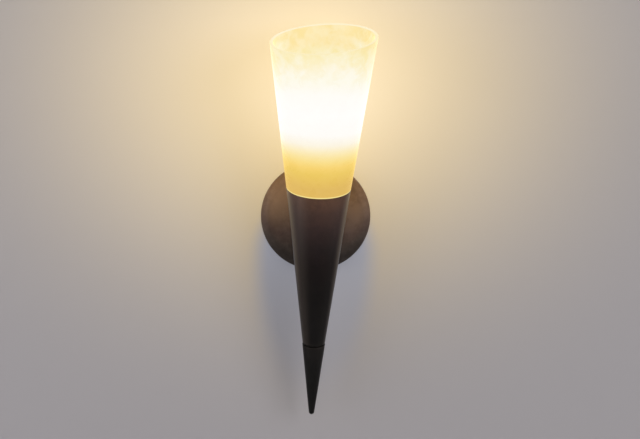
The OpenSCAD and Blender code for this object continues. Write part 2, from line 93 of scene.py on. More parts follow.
class Finish:
    """One material as it is mixed: node() adds a node, with its settings first and then its sockets."""

    def __init__(self, name):
        self.material = bpy.data.materials.new(name)
        self.material.use_nodes = True
        self.tree = self.material.node_tree
        self.tree.nodes.clear()

    def node(self, kind, settings, sockets, result=0):
        made = self.tree.nodes.new("ShaderNode" + kind)
        for name, value in settings.items():
            if name == "stops":
                ramp = made.color_ramp.elements
                ramp[0].position, ramp[1].position = value[0][0], value[-1][0]
                ramp[0].color, ramp[1].color = (*value[0][1], 1), (*value[-1][1], 1)
                for place, colour in value[1:-1]:
                    ramp.new(place).color = (*colour, 1)
            else:
                setattr(made, name, value)
        for name, value in sockets.items():
            if isinstance(value, Value):
                self.tree.links.new(value.socket, made.inputs[name])
            else:
                made.inputs[name].default_value = value
        return Value(self, made.outputs[result]) if made.outputs else None

    def own_place(self):
        """A point's place on the piece, which is its place in the room at rest."""
        return self.node("TexCoord", {}, {}, "Object")

    def noise(self, place, scale, detail=3, roughness=0.5, distortion=0):
        return self.node("TexNoise", {}, {"Vector": place, "Scale": scale, "Detail": detail,
                                          "Roughness": roughness, "Distortion": distortion})

    def band(self, value, low, high):
        """Spreads low to high over 0 to 1, smoothly, and holds the ends."""
        return self.node("MapRange", {"interpolation_type": "SMOOTHSTEP"},
                         {"Value": value, "From Min": low, "From Max": high})

    def blend(self, share, colour_a, colour_b, how="MIX"):
        """Goes from colour_a, at share 0, to colour_b, or to colour_a times colour_b with MULTIPLY."""
        sockets = {0: share}
        for key, colour in ((6, colour_a), (7, colour_b)):
            sockets[key] = colour if isinstance(colour, Value) else (*colour, 1)
        return self.node("Mix", {"data_type": "RGBA", "blend_type": how}, sockets, 2)

    def bump(self, height, depth):
        """A relief: height from 0 to 1, and its depth in metres."""
        return self.node("Bump", {}, {"Height": height, "Distance": depth, "Strength": 1})

    def coat(self, sockets):
        surface = self.node("BsdfPrincipled", {}, sockets)
        self.node("OutputMaterial", {}, {"Surface": surface})
        return self.material


def parted(place):
    """The three numbers of a place."""
    parts = place.finish.node("SeparateXYZ", {}, {"Vector": place})
    return [Value(place.finish, parts.socket.node.outputs[axis]) for axis in "XYZ"]


def off_axis(a, b):
    """How far a place is from an axis, from its two numbers square to that axis."""
    squares = a * a + b * b
    return squares.worked("SQRT", squares)


def plaster(name, colour, wash, everywhere):
    """The pale wash is painted on: it is seen, also in glass and metal, and lights nothing. On the wall it is a
    painted glow of the lit glass, warm, and fades away from a place above the plate. The floor has it
    everywhere."""
    mix = Finish(name)
    x, _, z = parted(mix.own_place())
    wash_left, wash_above = 0.012, 0.165
    wash_width, wash_height = 0.255, 0.208
    across, up = (x + wash_left) / wash_width, (z - wash_above) / wash_height
    spread = (across * across + up * up) * (everywhere - 1)
    falloff = mix.node("Math", {"operation": "EXPONENT"}, {0: spread})
    # The wash holds a painted shade too: round the plate's lower edge, and down beside the torch, the warm wash
    # turns cool, as the light of the glass doesn't reach there. The place is round above, and drawn out below.
    cool_below, cool_core, cool_edge, squeeze = 0.045, 0.052, 0.082, 0.4
    above = z + cool_below
    away = mix.node("Math", {"operation": "MAXIMUM"}, {0: above, 1: above * -squeeze})
    tint = mix.blend(mix.band(off_axis(x, away), cool_edge, cool_core), wash, (0.26, 0.30, 0.39))
    sight = mix.node("LightPath", {}, {}, "Is Camera Ray")
    through, mirrored, shadow_ray, travelled = (
        Value(mix, sight.socket.node.outputs[ray])
        for ray in ("Is Transmission Ray", "Is Glossy Ray", "Is Shadow Ray", "Ray Length"))
    surface = mix.node("BsdfPrincipled", {}, {
        "Base Color": (*colour, 1),
        "Roughness": 0.9,
        "Specular IOR Level": 0.1,
        "Emission Color": mix.blend(falloff * (sight + through + mirrored), (0, 0, 0), tint),
        "Emission Strength": 1,
    })
    # The straps lie on the wall, and what lies on it doesn't mirror it.
    nearest_seen = 0.006
    back_side = mix.node("NewGeometry", {}, {}, "Backfacing")
    touching = mix.node("Math", {"operation": "LESS_THAN"}, {0: travelled, 1: nearest_seen})
    unseen = mix.node("Math", {"operation": "MAXIMUM"}, {0: back_side, 1: shadow_ray})
    unseen = mix.node("Math", {"operation": "MAXIMUM"}, {0: unseen, 1: touching})
    clear = mix.node("BsdfTransparent", {}, {})
    both = mix.node("MixShader", {}, {0: unseen, 1: surface, 2: clear})
    mix.node("OutputMaterial", {}, {"Surface": both})
    return mix.material


room_width = 12
wall_gap = 0.0006      # behind the straps, so that their faces and the wall don't lie in one plane
wall_middle = 1.5
floor_level = -0.62
bpy.ops.object.select_all(action="DESELECT")
bpy.ops.mesh.primitive_plane_add(
    size=room_width, location=(0, wall_gap, wall_middle), rotation=(math.radians(90), 0, 0))
bpy.ops.object.transform_apply(location=True, rotation=True, scale=True)
wall = bpy.context.object
wall.name = "room_wall"
wall.data.materials.append(plaster("wall_plaster", (0.475, 0.457, 0.482), (0.67, 0.483, 0.17), 0))
bpy.ops.mesh.primitive_plane_add(size=room_width, location=(0, 0, floor_level))
floor = bpy.context.object
floor.name = "room_floor"
floor.data.materials.append(plaster("floor_plaster", (0.50, 0.485, 0.465), (0.30, 0.29, 0.275), 1))

# The studio light: one large soft lamp from the upper right, a weaker one from the left, one behind the wall
# for the wiring side, and a pale surrounding.
def softbox(name, place, size, power, colour):
    """A round soft lamp that shines on the plate."""
    bpy.ops.object.light_add(type="AREA", location=place)
    lamp = bpy.context.object
    lamp.name = name
    lamp.data.shape = "DISK"
    lamp.data.size = size
    lamp.data.energy = power
    lamp.data.color = colour
    lamp.rotation_euler = (-Vector(place)).to_track_quat("-Z", "Y").to_euler()


softbox("softbox_right", (1.9, -2.15, 0.95), 1.8, 24, (1, 0.985, 0.96))
softbox("softbox_left", (-2.3, -1.1, 0.25), 2.0, 19, (1, 0.975, 0.96))
softbox("softbox_behind", (0.7, 2.4, 0.9), 1.4, 18, (1, 1, 1))

world = bpy.data.worlds.new("room_air")
bpy.context.scene.world = world
world.use_nodes = True
world.node_tree.nodes.clear()
air = world.node_tree.nodes.new("ShaderNodeBackground")
air.inputs["Color"].default_value = (0.72, 0.72, 0.73, 1)
air.inputs["Strength"].default_value = 0.62
seen_air = world.node_tree.nodes.new("ShaderNodeBackground")
seen_air.inputs["Color"].default_value = (0.60, 0.58, 0.55, 1)
seen_air.inputs["Strength"].default_value = 1
sight = world.node_tree.nodes.new("ShaderNodeLightPath")
seen = world.node_tree.nodes.new("ShaderNodeMath")
seen.operation = "MAXIMUM"
seen_or_mirrored = world.node_tree.nodes.new("ShaderNodeMath")
seen_or_mirrored.operation = "MAXIMUM"
air_mix = world.node_tree.nodes.new("ShaderNodeMixShader")
air_out = world.node_tree.nodes.new("ShaderNodeOutputWorld")
for start, end in (
    (sight.outputs["Is Camera Ray"], seen.inputs[0]),
    (sight.outputs["Is Transmission Ray"], seen.inputs[1]),
    (seen.outputs[0], seen_or_mirrored.inputs[0]),
    (sight.outputs["Is Glossy Ray"], seen_or_mirrored.inputs[1]),
    (seen_or_mirrored.outputs[0], air_mix.inputs[0]),
    (air.outputs[0], air_mix.inputs[1]),
    (seen_air.outputs[0], air_mix.inputs[2]),
    (air_mix.outputs[0], air_out.inputs["Surface"]),
):
    world.node_tree.links.new(start, end)

# The wall straps and their hollow pivot: stamped and turned mild steel, zinc plated, as are the seat of the
# glass and the washers on the pipes. The strap with the long slots is screwed to the wall box, and the other
# turns on the pivot to level the light.
def zinc(name, colour, grain):
    """Zinc plating with its fine crystals. grain squeezes the brushing along the piece."""
    mix = Finish(name)
    place = mix.own_place()
    crystals = mix.node("TexVoronoi", {"feature": "SMOOTH_F1"},
                        {"Vector": place, "Scale": 420, "Smoothness": 0.4}, "Distance")
    drawn = mix.node("Mapping", {}, {"Vector": place, "Scale": grain})
    brushing = mix.noise(drawn, 900, 2)
    dulled = mix.band(mix.noise(place, 55, 4, 0.6), 0.42, 0.68)
    tone = mix.blend(mix.band(crystals * 0.7 + brushing * 0.3, 0.2, 0.6), [0.66 * c for c in colour], colour)
    return mix.coat({
        "Base Color": mix.blend(dulled * 0.6, tone, (0.34, 0.335, 0.32)),
        "Metallic": 1.0,
        "Roughness": 0.30 + dulled * 0.2 + crystals * 0.12,
        "Normal": mix.bump(crystals * 0.5 + brushing * 0.5, 0.00006),
    })


def coated(material, *names):
    """Gives CAD nodes their finish."""
    for name in names:
        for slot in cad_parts[name].material_slots:
            slot.material = material


coated(zinc("zinc_strap", (0.60, 0.61, 0.61), (0.03, 1, 1)), "box_strap")
coated(zinc("zinc_swivel_strap", (0.57, 0.57, 0.565), (1, 1, 0.03)), "plate_strap")
zinc_turned = zinc("zinc_turned", (0.58, 0.58, 0.57), (1, 1, 1))
coated(zinc_turned, "strap_pivot", "nipple_washers", "saddle_washer", "seat_plate", "rod_washer")


# Threaded rod and pipe: cut steel, zinc plated, the pipes in yellow. The studs run straight out from the wall,
# and so does the pipe through the stem. The long pipe runs up the torch, which leans 8 degrees off the wall.
torch_lean = math.radians(8)
torch_up = Vector((0, -math.sin(torch_lean), math.cos(torch_lean)))
torch_mouth = Vector((0, -0.062, 0)) + 0.048 * torch_up


def threaded(name, colour, start, turn, pitch, depth, valley):
    """Metal with a thread round an axis that starts at start, along +Z once turned. The valleys are darker."""
    mix = Finish(name)
    x, y, z = parted(mix.node("Mapping", {"vector_type": "TEXTURE"}, {
        "Vector": mix.own_place(), "Location": start, "Rotation": turn}))
    angle = mix.node("Math", {"operation": "ARCTAN2"}, {0: y, 1: x})
    ridge = mix.node("Math", {"operation": "SINE"}, {0: z * (2 * math.pi / pitch) + angle}) * 0.5 + 0.5
    wear = mix.noise(mix.own_place(), 130, 3)
    crests = mix.blend(wear, [0.8 * c for c in colour], colour)
    return mix.coat({
        "Base Color": mix.blend(ridge, [valley * c for c in colour], crests),
        "Metallic": 1.0,
        "Roughness": 0.42 - ridge * 0.14 + wear * 0.08,
        "Normal": mix.bump(ridge, depth),
    })


out_from_wall = (math.radians(90), 0, 0)
up_the_torch = (torch_lean, 0, 0)
stud_height = 0.035
cut_valley = 0.32
for name, colour, start, turn, pitch, depth, node in (
    ("stud_thread", (0.66, 0.66, 0.64), (0, 0, stud_height), out_from_wall, 0.0007, 0.0003, "plate_studs"),
    ("nipple_thread", (0.66, 0.58, 0.40), (0, 0, 0), out_from_wall, 0.001, 0.00045, "stem_nipple"),
    ("rod_thread", (0.66, 0.58, 0.40), torch_mouth, up_the_torch, 0.001, 0.00045, "centre_rod"),
):
    coated(threaded(name, colour, start, turn, pitch, depth, cut_valley), node)

# The earth connection: a green screw, and a bare copper wire in a crimped ring tag.
mix = Finish("green_screw_paint")
scuff = mix.noise(mix.own_place(), 500, 4, 0.6)
coated(mix.coat({
    "Base Color": mix.blend(mix.band(scuff, 0.6, 0.75), (0.05, 0.24, 0.10), (0.45, 0.46, 0.42)),
    "Metallic": 0.6,
    "Roughness": 0.35 + scuff * 0.2,
    "Normal": mix.bump(scuff, 0.00002),
}), "ground_screw")
mix = Finish("bare_copper")
tarnish = mix.noise(mix.own_place(), 260, 4, 0.6)
coated(mix.coat({
    "Base Color": mix.blend(mix.band(tarnish, 0.45, 0.7), (0.78, 0.40, 0.24), (0.36, 0.17, 0.10)),
    "Metallic": 1.0,
    "Roughness": 0.28 + tarnish * 0.25,
    "Normal": mix.bump(tarnish, 0.00002),
}), "ground_wire")


# The backplate: one round pan pressed from sheet, with a soft rolled edge, painted a brown bronze. Its warm
# brown is partly painted light from the glass above. Two studs and the stem's pipe pass through it.
def in_hand(piece):
    """Selects one piece alone, for the steps that follow."""
    bpy.ops.object.select_all(action="DESELECT")
    piece.select_set(True)
    bpy.context.view_layer.objects.active = piece


def turned(name, outline, steps=128):
    """Spins a closed outline of (radius, height) points, in millimetres, round +Z as on a lathe."""
    same_place = 0.000001
    bpy.ops.object.select_all(action="DESELECT")
    bpy.ops.mesh.primitive_plane_add(size=0.001)
    piece = bpy.context.object
    piece.name = piece.data.name = name
    bpy.ops.object.mode_set(mode="EDIT")
    bpy.ops.mesh.select_all(action="SELECT")
    bpy.ops.mesh.merge(type="CENTER")
    here = Vector((outline[0][0], 0, outline[0][1])) / 1000
    bpy.ops.transform.translate(value=here)
    for radius, height in outline[1:] + outline[:1]:
        there = Vector((radius, 0, height)) / 1000
        bpy.ops.mesh.extrude_region_move(TRANSFORM_OT_translate={"value": there - here})
        here = there
    bpy.ops.mesh.select_all(action="SELECT")
    bpy.ops.mesh.remove_doubles(threshold=same_place)
    bpy.ops.mesh.select_all(action="SELECT")
    bpy.ops.mesh.spin(steps=steps, angle=2 * math.pi, center=(0, 0, 0), axis=(0, 0, 1))
    bpy.ops.mesh.select_all(action="SELECT")
    bpy.ops.mesh.remove_doubles(threshold=same_place)
    bpy.ops.mesh.select_all(action="SELECT")
    bpy.ops.mesh.normals_make_consistent(inside=False)
    bpy.ops.object.mode_set(mode="OBJECT")
    return piece


def rounded(centre, radius, start, end, count=8):
    """Points of a rounded corner, from one angle to another in degrees."""
    return [(centre[0] + radius * math.cos(math.radians(start + (end - start) * i / count)),
             centre[1] + radius * math.sin(math.radians(start + (end - start) * i / count)))
            for i in range(count + 1)]


def settled(piece, place, turn):
    """Puts a piece in its place and keeps the place in its mesh."""
    in_hand(piece)
    piece.location = place
    piece.rotation_euler = turn
    bpy.ops.object.transform_apply(location=True, rotation=True, scale=True)
    return piece


def trimmed(piece, tool, operation):
    """Cuts a piece with a tool (DIFFERENCE), or keeps what is inside the tool (INTERSECT)."""
    in_hand(piece)
    cut = piece.modifiers.new("cut", "BOOLEAN")
    cut.operation = operation
    cut.solver = "EXACT"
    cut.object = tool
    bpy.ops.object.modifier_apply(modifier=cut.name)
    bpy.data.objects.remove(tool)
    return piece


def drilled(piece, holes):
    """Bores each (place, turn, radius, length) through a piece, in metres."""
    for place, turn, radius, length in holes:
        bpy.ops.object.select_all(action="DESELECT")
        bpy.ops.mesh.primitive_cylinder_add(
            vertices=48, radius=radius, depth=length, location=place, rotation=turn)
        trimmed(piece, bpy.context.object, "DIFFERENCE")
    return piece


def smoothed(piece, angle=32):
    """Shades a piece smooth, but for edges sharper than an angle in degrees."""
    in_hand(piece)
    bpy.ops.object.shade_smooth_by_angle(angle=math.radians(angle))
    return piece


pipe_hole = 5.05
plate_radius, plate_depth, plate_sheet, plate_roll = 63.5, 12, 1.2, 9
plate_inside = plate_depth - plate_sheet
roll_centre = (plate_radius - plate_roll, plate_depth - plate_roll)
plate_outline = (
    [(62.3, 0.25), (62.55, 0), (63.25, 0), (plate_radius, 0.25)]
    + rounded(roll_centre, plate_roll, 0, 90, 14)
    + [(radius, plate_depth) for radius in (40, 20, pipe_hole)]
    + [(radius, plate_inside) for radius in (pipe_hole, 20, 40)]
    + rounded(roll_centre, plate_roll - plate_sheet, 90, 0, 12)
)
backplate = settled(turned("backplate_pan", plate_outline, 160), (0, 0, 0), out_from_wall)
stud_hole = 0.0023
drilled(backplate, [
    ((0, -0.011, height), out_from_wall, stud_hole, 0.01) for height in (stud_height, -stud_height)])


def bronze(name, tones, along, wear, rubbed_or_lit, dullness, metal, wax):
    """Hand-rubbed dark bronze. along(mix) runs from 0 to 1 over the tones, and wear(mix, cloud) says where the
    coat is rubbed lighter, or where light is painted on it, in the colour rubbed_or_lit. The coat is a little
    cloudy and finely pitted, under wax that thickens along the piece."""
    mix = Finish(name)
    place = mix.own_place()
    cloud = mix.noise(place, 30, 5, 0.6)
    brushing = mix.noise(place, 170, 3, 0.6)
    grit = mix.noise(place, 1100, 2, 0.6)
    fleck = mix.band(mix.noise(place, 2600, 1), 0.62, 0.78)
    reached = along(mix)
    tone = mix.node("ValToRGB", {"stops": tones}, {0: reached})
    darker = mix.blend(1.0, tone, (0.72, 0.70, 0.70), "MULTIPLY")
    tone = mix.blend(mix.band(cloud * 0.7 + brushing * 0.3, 0.40, 0.62), darker, tone)
    worn_or_lit = wear(mix, cloud)
    shown = mix.blend(fleck * 0.10 + worn_or_lit, tone, rubbed_or_lit)
    return mix.coat({
        "Base Color": shown,
        "Metallic": metal,
        "Roughness": dullness + cloud * 0.10 + grit * 0.05 - worn_or_lit * 0.06,
        "Specular IOR Level": 0.08,
        "Coat Weight": mix.band(reached, 0.45, 1.0) * wax + 0.15 * wax,
        "Coat Roughness": 0.3,
        "Coat IOR": 1.44,
        "Normal": mix.bump(grit * 0.5 + brushing * 0.5, 0.00003),
    })


def plate_light_and_shade(mix):
    """Painted light and shade: the brown is warmest at the top of the plate, 55 mm up, as painted light from the
    glass above, and darkens to the bottom, and round the rolled edge from 47 mm out, as painted shade."""
    x, _, z = parted(mix.own_place())
    return z / 0.11 + 0.5 - mix.band(off_axis(x, z), 0.047, 0.061) * 0.13


def plate_painted_glow(mix, cloud):
    """Painted light from the glass: the upper left of the plate is lighter, out over most of the rolled edge."""
    x, _, z = parted(mix.own_place())
    upper_left = mix.band(x, -0.012, -0.034) * mix.band(z, -0.018, 0.026)
    return upper_left * mix.band(off_axis(x, z), 0.0625, 0.050) * 0.42


# The plate's tones run from painted shade at the bottom to painted light of the glass at the top.
plate_painted_tones = [
    (0.02, (0.056, 0.046, 0.042)),
    (0.18, (0.100, 0.078, 0.066)),
    (0.34, (0.165, 0.110, 0.088)),
    (0.50, (0.255, 0.162, 0.108)),
    (0.68, (0.330, 0.195, 0.105)),
    (0.86, (0.335, 0.186, 0.075)),
]
backplate.data.materials.append(bronze(
    "bronze_brown", plate_painted_tones, plate_light_and_shade, plate_painted_glow,
    rubbed_or_lit=(0.68, 0.43, 0.26), dullness=0.52, metal=0.12, wax=0.015))
smoothed(backplate)
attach(backplate, "fixture")
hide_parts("backplate")


# The torch body: a long cone spun from sheet, open at its mouth and closed below but for the pipe. Its lip is
# rounded, and the pipe of the stem goes through its back. It has the plate's bronze, painted darker here as
# painted shade, for the glass lights the plate and not the cone.
mouth_radius, seam_radius, cone_length = 36.5, 13, 190
cone_sheet, lip, heel = 1.2, 0.5, 0.4


def cone_radius(height):
    """The outside of the cone at a height, in millimetres. Heights run up from the mouth: here below 0."""
    return mouth_radius + (mouth_radius - seam_radius) / cone_length * height


body_outline = (
    rounded((cone_radius(-lip) - lip, -lip), lip, 0, 90, 5)
    + rounded((cone_radius(-lip) - (cone_sheet - lip), -lip), lip, 90, 180, 5)
    + [(cone_radius(height) - cone_sheet, height) for height in (-60, -120, -187)]
    + [(pipe_hole, -187), (pipe_hole, -cone_length)]
    + rounded((seam_radius - heel, heel - cone_length), heel, -90, 0, 4)
    + [(cone_radius(height), height) for height in (-120, -60)]
)
torch_body = settled(turned("torch_body", body_outline, 160), torch_mouth, up_the_torch)
drilled(torch_body, [((0, -0.034, 0), out_from_wall, pipe_hole / 1000, 0.014)])


def torch_place(mix):
    """A point's place on the torch: +Z runs up its axis from the mouth, in metres."""
    return mix.node("Mapping", {"vector_type": "TEXTURE"},
                    {"Vector": mix.own_place(), "Location": torch_mouth, "Rotation": up_the_torch})


def torch_height(mix):
    """From the seam up to the mouth. Its tones are nearly black below, and brown near the glass, which is
    painted light from the lit glass.
    """
    return parted(torch_place(mix))[2] / (cone_length / 1000) + 1


def torch_flank_sheen_and_lip(mix, cloud):
    """Painted reflection: the left side of the cone is lighter, and so are a strip down its right and both sides
    of its upper part. A thin band near the lower end is lighter in patches. None of it reaches the seam itself,
    which the tones paint black."""
    x, _, height = parted(torch_place(mix))
    around = x / (height * ((mouth_radius - seam_radius) / cone_length) + mouth_radius / 1000)
    painted_flank_sheen = mix.band(around, -0.25, -0.85) * 0.24 + mix.band(around, 0.65, 0.95) * 0.14
    painted_flank_sheen = painted_flank_sheen + mix.band(around * around, 0.50, 0.92) * mix.band(height, -0.135, -0.095) * 0.22
    lower_end = mix.band(height, -0.1868, -0.1880) * mix.band(cloud, 0.3, 0.7) * 0.08
    return (painted_flank_sheen + lower_end) * mix.band(height, -0.1893, -0.1887)


# Painted light and shade: the brown near the top stands for the light of the glass, and the black over the last
# millimetre above the seam is painted shade in the seam.
torch_painted_tones = [
    (0.000, (0.0010, 0.0008, 0.0008)),
    (0.0035, (0.0012, 0.0010, 0.0010)),
    (0.0065, (0.0064, 0.0056, 0.0056)),
    (0.42, (0.0070, 0.0050, 0.0048)),
    (0.55, (0.0088, 0.0046, 0.0046)),
    (0.67, (0.0130, 0.0050, 0.0054)),
    (0.80, (0.0350, 0.0130, 0.0105)),
    (0.90, (0.0620, 0.0255, 0.0160)),
    (0.98, (0.1240, 0.0530, 0.0270)),
]
torch_body.data.materials.append(bronze(
    "bronze_torch", torch_painted_tones, torch_height, torch_flank_sheen_and_lip,
    rubbed_or_lit=(0.12, 0.095, 0.08), dullness=0.27, metal=0.28, wax=0.7))
smoothed(torch_body)
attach(torch_body, "fixture")
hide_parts("torch_cone")

# The finial: a solid point turned from bar, with a narrow neck that makes the dark seam under the body, and a
# blunt tip. It is screwed on the pipe.
finial_outline = (
    [(pipe_hole, -190.02), (11.4, -190.02), (11.7, -190.3), (11.7, -191.5)]
    + rounded((12.7, -192), 0.5, 90, 7, 4)
    + [(9.83, -221.5), (6.46, -251.5)]
    + rounded((0, -278.8), 3.2, -6.4, -90, 10)
    + [(0, -211), (pipe_hole, -211)]
)
finial = settled(turned("torch_point", finial_outline, 128), torch_mouth, up_the_torch)
tip_below_mouth, point_length = 0.282, 0.092


def point_height(mix):
    """From the tip up to the seam."""
    return (parted(torch_place(mix))[2] + tip_below_mouth) / point_length


def shoulder_wear(mix, cloud):
    """The shoulder under the seam and the tip are rubbed brown."""
    height = parted(torch_place(mix))[2]
    shoulder = mix.band(height, -0.1942, -0.1920)
    tip = mix.band(height, -0.2785, -0.2815)
    return (shoulder * 0.14 + tip * 0.10) * mix.band(cloud, 0.25, 0.7)


# The top of the point, in the seam's groove, is painted near black: painted shade in the seam.
point_tones_and_seam_shade = [
    (0.00, (0.0105, 0.0098, 0.0095)),
    (0.70, (0.0100, 0.0095, 0.0095)),
    (0.977, (0.0130, 0.0108, 0.0104)),
    (0.984, (0.0012, 0.0010, 0.0010)),
]
finial.data.materials.append(bronze(
    "bronze_point", point_tones_and_seam_shade, point_height, shoulder_wear,
    rubbed_or_lit=(0.10, 0.085, 0.075), dullness=0.27, metal=0.28, wax=0.07))
smoothed(finial)
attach(finial, "fixture")
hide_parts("finial")

# The stem: a collar turned from bar, between plate and torch. Foot and head run into the waist in coves, a bead
# goes round the waist, and the head is hollowed to fit the torch, so that it can't turn.
def stem_depth(mix):
    """From the plate, 12 mm off the wall, out to the torch."""
    return (parted(mix.own_place())[1] * -1 - 0.012) / 0.022


def turned_wear(mix, cloud):
    return mix.band(cloud, 0.55, 0.75) * 0.12


stem_tones = [(0.0, (0.052, 0.034, 0.026)), (1.0, (0.022, 0.016, 0.014))]
stem_bronze = bronze(
    "bronze_stem", stem_tones, stem_depth, turned_wear,
    rubbed_or_lit=(0.24, 0.17, 0.12), dullness=0.30, metal=0.6, wax=0.12)
stem_outline = (
    [(pipe_hole, 0), (16.6, 0), (17, 0.4)]
    + rounded((16.2, 1.9), 0.8, 0, 90, 4)
    + [(15.3, 2.7), (15.1, 3)]
    + rounded((14.2, 8.2), 5.2, -90, -180, 10)
    + rounded((9, 10.2), 1.1, -90, 90, 8)
    + rounded((12.6, 12.6), 3.6, 180, 100, 8)
    + [(12, 16.6), (12, 23.6), (pipe_hole, 23.6)]
)
stem = settled(turned("torch_stem", stem_outline, 128), (0, -0.012, 0), out_from_wall)
head_gap = 0.05
bpy.ops.object.select_all(action="DESELECT")
bpy.ops.mesh.primitive_cone_add(
    vertices=160, radius1=(cone_radius(-120) + head_gap) / 1000, radius2=(cone_radius(0) + head_gap) / 1000,
    depth=0.12, location=torch_mouth - 0.06 * torch_up, rotation=up_the_torch)
trimmed(stem, bpy.context.object, "DIFFERENCE")
stem.data.materials.append(stem_bronze)
smoothed(stem)
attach(stem, "fixture")
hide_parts("stem_collar")


# The cap nuts: domed, with a knurled grip, turned from bar. On thin washers of the same bronze they hold the
# plate, above and below.
def picked(piece, wanted):
    """Opens a piece for editing, with the corners selected that wanted(place) names."""
    in_hand(piece)
    bpy.ops.object.mode_set(mode="EDIT")
    bpy.ops.mesh.select_all(action="DESELECT")
    bpy.ops.object.mode_set(mode="OBJECT")
    for corner in piece.data.vertices:
        corner.select = wanted(corner.co)
    bpy.ops.object.mode_set(mode="EDIT")


def copied(piece, name):
    """One more of a piece, with its own mesh."""
    in_hand(piece)
    bpy.ops.object.duplicate(linked=False)
    twin = bpy.context.object
    twin.name = twin.data.name = name
    return twin


stud_bore, dome_radius, grip_steps = 2.05, 4.2, 96
cap_nut_outline = (
    [(stud_bore, 0), (4.1, 0), (4.5, 0.4), (4.5, 3.3), (dome_radius, 3.6), (dome_radius, 3.9)]
    + rounded((0, 3.9), dome_radius, 8, 90, 10)
    + [(0, 5.4), (stud_bore, 5.2)]
)
upper_cap_nut = turned("cap_nut_upper", cap_nut_outline, grip_steps)
picked(upper_cap_nut, lambda place: place.xy.length > 0.00445
       and round(math.degrees(math.atan2(place.y, place.x)) / (360 / grip_steps)) % 4 == 0)
bpy.ops.transform.resize(value=(0.93, 0.93, 1), center_override=(0, 0, 0))
bpy.ops.object.mode_set(mode="OBJECT")
lower_cap_nut = copied(upper_cap_nut, "cap_nut_lower")
for cap_nut, height in ((upper_cap_nut, stud_height), (lower_cap_nut, -stud_height)):
    settled(cap_nut, (0, -0.0128, height), out_from_wall)
    cap_nut.data.materials.append(stem_bronze)
    smoothed(cap_nut)
    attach(cap_nut, "fixture")
    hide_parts("cap_nuts")
coated(stem_bronze, "cap_washers")


# The hexagonal nuts: two hold the studs to the strap, two draw the stem's pipe tight, and one holds the seat on
# the long pipe. All are zinc plated steel, chamfered at both ends.
def hex_nut(name, across, height, bore):
    """A nut that stands on the origin, with its sizes in millimetres."""
    corner = across / 2 / math.cos(math.radians(30))
    flat = 0.48 * across
    chamfer = (corner - flat) * 0.58
    bpy.ops.object.select_all(action="DESELECT")
    bpy.ops.mesh.primitive_cylinder_add(vertices=6, radius=corner / 1000, depth=(height + 1) / 1000)
    nut = settled(bpy.context.object, (0, 0, height / 2000), (0, 0, 0))
    nut.name = nut.data.name = name
    outside = corner + 0.1
    blank = turned("nut_blank", [(bore, 0), (flat, 0), (outside, chamfer), (outside, height - chamfer),
                                 (flat, height), (bore, height)], 72)
    trimmed(nut, blank, "INTERSECT")
    nut.data.materials.append(zinc_turned)
    return nut


stud_nut = hex_nut("stud_nut_upper", 7, 2.4, stud_bore)
pipe_nut = hex_nut("pipe_nut_back", 14, 3, pipe_hole)
for nut, node, place, turn in (
    (stud_nut, "stud_nuts", (0, -0.004, stud_height), out_from_wall),
    (copied(stud_nut, "stud_nut_lower"), "stud_nuts", (0, -0.004, -stud_height), out_from_wall),
    (pipe_nut, "nipple_nuts", (0, -0.0068, 0), out_from_wall),
    (copied(pipe_nut, "pipe_nut_front"), "nipple_nuts", (0, -0.03788, 0), out_from_wall),
    (hex_nut("seat_nut", 14, 4, pipe_hole), "rod_nut", torch_mouth - 0.002 * torch_up, up_the_torch),
):
    settled(nut, place, turn)
    smoothed(nut, 25)
    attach(nut, "fixture")
    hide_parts(node)


# The glass: a thick cone blown in a mould from clouded amber glass, with a floor that the lampholder passes
# through, and a rim cut by hand at a slope and polished. The lamp inside lights it.
glass_top, glass_height, glass_wall = 60, 175, 4
glass_flare = (glass_top - mouth_radius) / glass_height


def glass_radius(height):
    """The outside of the glass at a height over the mouth, in millimetres."""
    return mouth_radius + glass_flare * height


glass_foot = -1.98      # 0.02 mm clear of the felt, so that the two faces don't lie in one plane
glass_outline = (
    [(21.3, glass_foot), (34.5, glass_foot), (34.8, -1.7), (34.8, 0.3)]
    + rounded((glass_radius(1.1) - 0.8, 1.1), 0.8, -90, -8, 5)
    + [(glass_radius(height), height) for height in (60, 120, 184)]
    + [(glass_radius(height) - glass_wall, height) for height in (184, 120, 60)]
    + rounded((glass_radius(6) - 6, 6), 2, 0, -90, 5)
    + [(21.3, 4), (21, 3.7), (21, -1.7)]
)
glass = turned("glass_cone", glass_outline, 160)
rim_slope = math.radians(5)
rim_up = Vector((-math.sin(rim_slope), 0, math.cos(rim_slope)))
rim_middle = Vector((0, 0, glass_height / 1000))
in_hand(glass)
bpy.ops.object.mode_set(mode="EDIT")
bpy.ops.mesh.select_all(action="SELECT")
bpy.ops.mesh.bisect(plane_co=rim_middle, plane_no=rim_up, clear_outer=True)
bpy.ops.object.mode_set(mode="OBJECT")
for edge in glass.data.edges:
    edge.select = all(abs((glass.data.vertices[v].co - rim_middle).dot(rim_up)) < 0.00001 for v in edge.vertices)
bpy.ops.object.mode_set(mode="EDIT")
bpy.ops.mesh.bridge_edge_loops()
bpy.ops.mesh.region_to_loop()
bpy.ops.mesh.bevel(offset=0.0016, segments=5, affect="EDGES")
bpy.ops.mesh.select_all(action="SELECT")
bpy.ops.mesh.normals_make_consistent(inside=False)
bpy.ops.object.mode_set(mode="OBJECT")
settled(glass, torch_mouth, up_the_torch)

mix = Finish("clouded_amber_glass")
place = torch_place(mix)
x, y, height = parted(place)
billows = mix.noise(place, 66, 3, 0.5, distortion=0.6)
wisps = mix.noise(place, 170, 3, 0.55, distortion=0.4)
cloud = mix.band(billows * 0.75 + wisps * 0.25, 0.32, 0.68)

